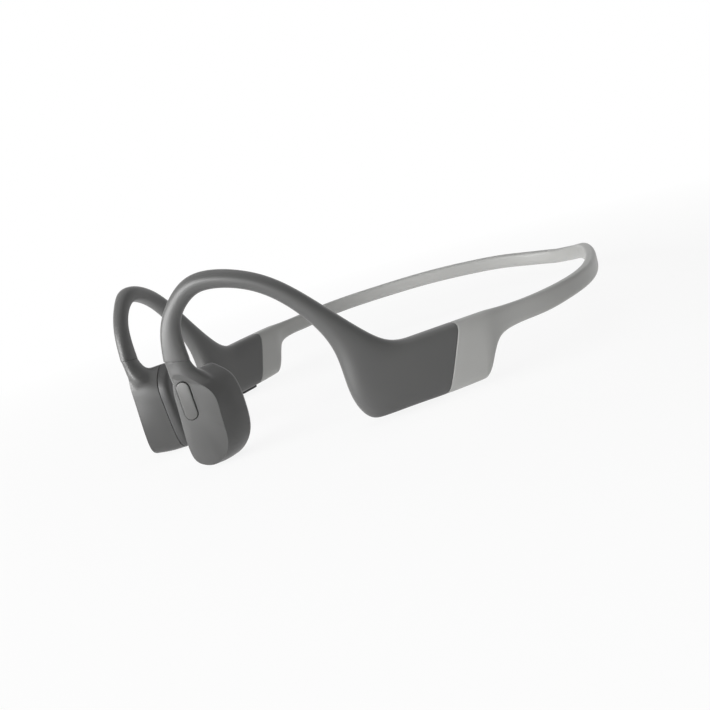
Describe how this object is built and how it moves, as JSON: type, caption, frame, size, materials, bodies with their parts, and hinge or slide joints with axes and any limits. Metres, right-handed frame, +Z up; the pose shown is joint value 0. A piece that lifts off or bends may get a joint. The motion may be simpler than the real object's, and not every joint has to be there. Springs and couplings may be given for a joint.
{
  "type": "bone conduction headphones",
  "caption": "Open-ear bone conduction headset: sprung neckband, hooks over the ears with flat housings, and a transducer head with a pad in front of each ear.",
  "frame": {"origin": "on the surface it stands on, under the middle of its bounding box", "axes": "+Z up, -Y the way the wearer faces, +X the wearer's left"},
  "size_m": [0.1428, 0.1876, 0.0554],
  "materials": {
    "battery": "lithium pouch foil",
    "board": "solder-masked laminate",
    "button": "fine matte moulded plastic",
    "cable": "cable jacket",
    "copper": "enamelled copper winding",
    "cover_dark": "matte silicone over-mould, dark grey",
    "cover_light": "matte silicone over-mould, light grey",
    "frame_plastic": "moulded black plastic",
    "gold": "gold plated contact",
    "light_pipe": "frosted clear plastic",
    "magnet": "nickel plated magnet",
    "pad": "matte silicone",
    "shell_dark": "fine matte moulded plastic, dark grey",
    "shield": "tinned steel can",
    "soft_iron": "zinc plated soft iron",
    "spring_steel": "rolled spring steel sheet",
    "spring_wire": "drawn titanium spring wire"
  },
  "bodies": {
    "headset": {"battery": "battery", "battery_protection_board": "board", "button_board": "board", "button_switch": "frame_plastic", "charge_contacts": "gold", "charge_magnets": "magnet", "left_contact_pad": "pad", "left_earhook_cable": "cable", "left_earhook_cover": "cover_dark", "left_earhook_wire": "spring_wire", "left_head_shell": "shell_dark", "left_housing_frame": "frame_plastic", "left_housing_lid": "frame_plastic", "left_transducer_frame": "frame_plastic", "left_vibration_plate": "spring_steel", "left_voice_coil": "copper", "main_board": "board", "microphone": "shield", "neckband_cable": "cable", "neckband_cover": "cover_light", "neckband_wire": "spring_wire", "radio_shield": "shield", "right_contact_pad": "pad", "right_earhook_cable": "cable", "right_earhook_cover": "cover_dark", "right_earhook_wire": "spring_wire", "right_head_shell": "shell_dark", "right_housing_frame": "frame_plastic", "right_housing_lid": "frame_plastic", "right_transducer_frame": "frame_plastic", "right_vibration_plate": "spring_steel", "right_voice_coil": "copper", "status_light_window": "light_pipe", "volume_switches": "frame_plastic"},
    "multifunction_button": {"multifunction_button": "button"},
    "volume_up_button": {"volume_up_button": "shell_dark"},
    "volume_down_button": {"volume_down_button": "shell_dark"},
    "left_armature": {"left_yoke": "soft_iron", "left_magnet": "magnet", "left_pole_plate": "soft_iron"},
    "right_armature": {"right_yoke": "soft_iron", "right_magnet": "magnet", "right_pole_plate": "soft_iron"}
  },
  "joints": [
    {"name": "multifunction_button_press", "type": "slide", "parent": "headset", "child": "multifunction_button", "axis": [-0.7314, 0.682, 0], "range_m": [0, 0.0003], "stiffness_N_per_m": 5000},
    {"name": "volume_up_press", "type": "slide", "parent": "headset", "child": "volume_up_button", "axis": [0, 0, 1], "range_m": [0, 0.0003], "stiffness_N_per_m": 5000},
    {"name": "volume_down_press", "type": "slide", "parent": "headset", "child": "volume_down_button", "axis": [0, 0, 1], "range_m": [0, 0.0003], "stiffness_N_per_m": 5000},
    {"name": "left_armature_slide", "type": "slide", "parent": "headset", "child": "left_armature", "axis": [0.7314, -0.682, 0], "range_m": [-0.00015, 0.00015], "stiffness_N_per_m": 1800},
    {"name": "right_armature_slide", "type": "slide", "parent": "headset", "child": "right_armature", "axis": [-0.7314, -0.682, 0], "range_m": [-0.00015, 0.00015], "stiffness_N_per_m": 1800}
  ]
}
